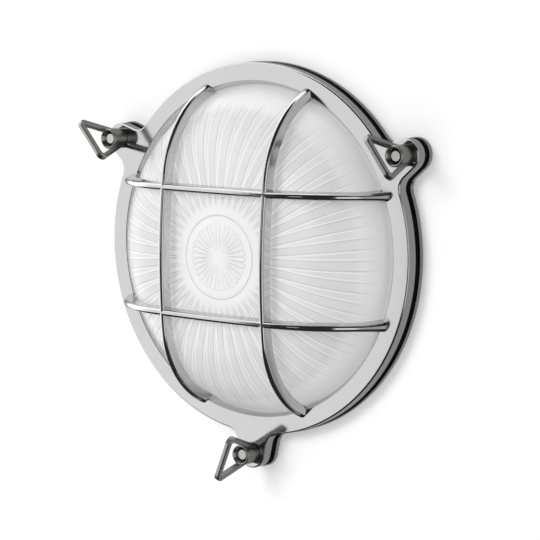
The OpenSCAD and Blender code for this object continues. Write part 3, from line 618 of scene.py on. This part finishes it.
# Turns rows of radius and height about the lamp axis, and closes both ends on the axis
def lathe(name, radius, height, turn):
    rows, columns = radius.shape
    points = np.stack([radius * np.cos(turn), -height, radius * np.sin(turn)], axis=-1).reshape(-1, 3)
    poles = [(0, -height[0].mean(), 0), (0, -height[-1].mean(), 0)]
    edge, after = np.arange(columns), (np.arange(columns) + 1) % columns
    first, low = np.full(columns, rows * columns), (rows - 1) * columns
    caps = np.concatenate([np.stack([first, edge, after], axis=1),
                           np.stack([low + edge, first + 1, low + after], axis=1)])
    return gridMesh(name, points.tolist() + poles, gridFaces(rows, columns, False) + caps.tolist())


# Radii of the bowl's rows down the outside, round the flange and up the inside, and heights round the flange
def bowlRows():
    inset, (middle, level) = bowl["wall"], bowl["shoulderAt"]
    outerR, innerR = bowl["shoulderR"], bowl["shoulderR"] - inset
    top, base, rim, edge = bowl["flangeTop"], bowl["base"], bowl["flangeR"], bowl["flangeEdge"]
    steep = math.radians(drawn["steep"])
    fall = np.linspace(steep, math.asin((top - level) / outerR), drawn["outerArc"])
    rise = np.linspace(math.asin((base - level) / innerR), steep, drawn["innerArc"])
    crown = np.linspace(drawn["pole"], middle + drawn["outerMeet"], drawn["outerCrown"])
    ribs = np.linspace(middle + drawn["innerMeet"], drawn["ribsTo"], drawn["ribRows"])
    rosette = np.linspace(drawn["rosetteFrom"], drawn["pole"], drawn["rosetteRows"])
    outer = np.concatenate([crown, middle + outerR * np.cos(fall)])
    inner = np.concatenate([middle + innerR * np.cos(rise), ribs, rosette])
    flange = np.array([rim - edge, rim, rim, rim - edge])
    flangeUp = np.array([top, top - edge, base + edge, base])
    return outer, flange, flangeUp, inner


# Pressed glass: milky clear and whiter in the middle; its rim is painted whiter again against the ring's
# shade. Each edge of a rib carries a painted shade line, paler further out, where a painted highlight line
# lies beside it. The raised ring and the petals carry painted shade lines too, and a petal's painted shade
# shows least where it points up or down. In a pair, a mask goes from 0 to 1 along the radius.
glassLook = {"clear": 0.25, "bending": 1.5, "rough": 0.22, "fineRough": 0.03, "fineScale": 400.0,
             "milk": (0.94, 0.945, 0.945), "outer": (0.79, 0.795, 0.795), "outerFrom": (0.026, 0.050),
             "rimFrom": (0.087, 0.092), "cloud": 0.5, "cloudScale": 30.0, "cloudShade": 0.95,
             "shadeLineGrey": (0.62, 0.63, 0.63), "shadeLineHalf": 0.00055, "shadePaler": 0.4, "white": (1.0, 1.0, 1.0),
             "highlightHalf": 0.0008, "highlightOff": 0.0008, "highlightFrom": (0.036, 0.046),
             "ribsFrom": (0.029, 0.036), "ribsTo": (0.088, 0.099), "petalShadeHalf": 0.00032,
             "petalsFrom": (0.0065, 0.0105), "petalShadeLeast": 0.25, "hoopShadeShare": 0.8, "swell": 0.0003,
             "swellSoft": 0.0006, "wave": 0.4, "waveScale": 45.0, "waveDetail": 2.0, "least": 0.000001}


# How far a place lies from the middle line of its finger, to either side, and half of the finger's width
def fingerShade(root, r, turn, count, start, stop, startWidth, stopWidth):
    part = root.work("FRACT", turn * (count / (2 * math.pi)) + 0.5) - 0.5
    half = 0.5 * startWidth + (r - start) * (0.5 * (stopWidth - startWidth) / (stop - start))
    return part * r * (2 * math.pi / count), half


def glassFinish(how):
    material, shader, place = newFinish("pressedGlass", IOR=how["bending"], Transmission_Weight=how["clear"])
    root = Wire(material.node_tree)
    x, _, z = place.axes()
    x, z = x - bowl["patternAt"][0], z - bowl["patternAt"][1]
    r = root.work("SQRT", x * x + z * z)
    turn = root.work("ARCTAN2", z, x)
    thin, soft = how["shadeLineHalf"], how["swellSoft"]

    # Rib edges: a painted shade line on each edge and, further out, a painted highlight line beside it
    side, half = fingerShade(root, r, turn, *bowl["ribs"])
    ribs = r.step(*how["ribsFrom"]) * (1.0 - r.step(*how["ribsTo"]))
    further = r.step(*how["highlightFrom"])
    off = abs(side) - half
    paintedShadeLine = (1.0 - abs(off).step(0.0, thin)) * ribs * (1.0 - how["shadePaler"] * further)
    paintedHighlightLine = (1.0 - abs(off - how["highlightOff"]).step(0.0, how["highlightHalf"])) * ribs * further
    ribRise = (1.0 - off.step(-soft, soft)) * ribs

    # Petal edges: a painted shade line, fainter where a petal points up or down
    side, half = fingerShade(root, r, turn, *bowl["petals"])
    start, stop = bowl["petals"][1:3]
    past = root.work("MAXIMUM", root.work("MAXIMUM", start + half - r, r + half - stop), 0.0)
    petals = root.work("SQRT", side * side + past * past) - half
    sideways = x * x / (r * r + how["least"])
    petalShadeLine = (1.0 - abs(petals).step(0.0, how["petalShadeHalf"])) * r.step(*how["petalsFrom"])
    petalShadeLine = petalShadeLine * (how["petalShadeLeast"] + (1.0 - how["petalShadeLeast"]) * sideways)
    petalRise = 1.0 - petals.step(-soft, soft)

    # The raised ring's edge: a painted shade line
    hoop = abs(r - bowl["ring"][0])
    hoopShadeLine = how["hoopShadeShare"] * (1.0 - hoop.step(0.0, thin))
    hoopRise = 1.0 - hoop.step(0.0, bowl["ring"][1])

    # The outer band takes the darker outer tone; the rim is painted back to the milk's white against the
    # ring's shade
    outer = r.step(*how["outerFrom"]) * (1.0 - r.step(*how["rimFrom"]))
    milk = outer.blend(shade(how["milk"], 1.0), shade(how["outer"], 1.0))
    cloud = how["cloud"] * place.patches(how["cloudScale"])
    milk = cloud.blend(milk, shade(how["milk"], how["cloudShade"]))
    # All painted shade lines are laid on the milk, with the painted highlight lines over them
    paintedShadeLine = root.work("MAXIMUM", paintedShadeLine, root.work("MAXIMUM", petalShadeLine, hoopShadeLine))
    lined = paintedShadeLine.blend(milk, shade(how["shadeLineGrey"], 1.0))
    root.plug(paintedHighlightLine.blend(lined, shade(how["white"], 1.0)), shader.inputs["Base Color"])
    root.plug(how["rough"] + how["fineRough"] * place.noise(how["fineScale"]), shader.inputs["Roughness"])
    wave = how["wave"] * place.noise(how["waveScale"], how["waveDetail"])
    root.plug(root.bump(ribRise + petalRise + hoopRise + wave, how["swell"]), shader.inputs["Normal"])
    return material


# The bowl: rows turned about the lamp axis, the inside moved in by the pattern's height, square to its slope
def addBowl():
    turn = np.linspace(0, 2 * math.pi, drawn["columns"], endpoint=False)[None, :]
    outer, flange, flangeUp, inner = bowlRows()
    around = np.ones_like(turn)
    depth = relief(inner[:, None] * np.cos(turn), inner[:, None] * np.sin(turn))
    middle, wall = bowl["shoulderAt"][0], bowl["wall"]
    slope = (inner - middle) / (bowl["shoulderR"] - wall)
    lean = np.clip(slope, 0, bowl["leanMost"])[:, None]  # sine of the slope
    radii = [outer[:, None] * around, flange[:, None] * around, inner[:, None] - depth * lean]
    heights = [domeHeight(outer, 0)[:, None] * around, flangeUp[:, None] * around,
               domeHeight(inner, wall)[:, None] - depth * np.sqrt(1 - lean**2)]
    mesh = lathe("pressedBowl", np.concatenate(radii), np.concatenate(heights), turn)
    mesh.polygons.foreach_set("use_smooth", np.ones(len(mesh.polygons), bool))
    mesh.update()
    mesh.materials.append(glassFinish(glassLook))
    piece = addThing("pressedBowl", mesh)
    piece.visible_shadow = False  # the lamp reaches the inside
    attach(piece, "fitting")
    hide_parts("glass_dome")
    print("bowl made with", len(mesh.polygons), "faces")


addBowl()
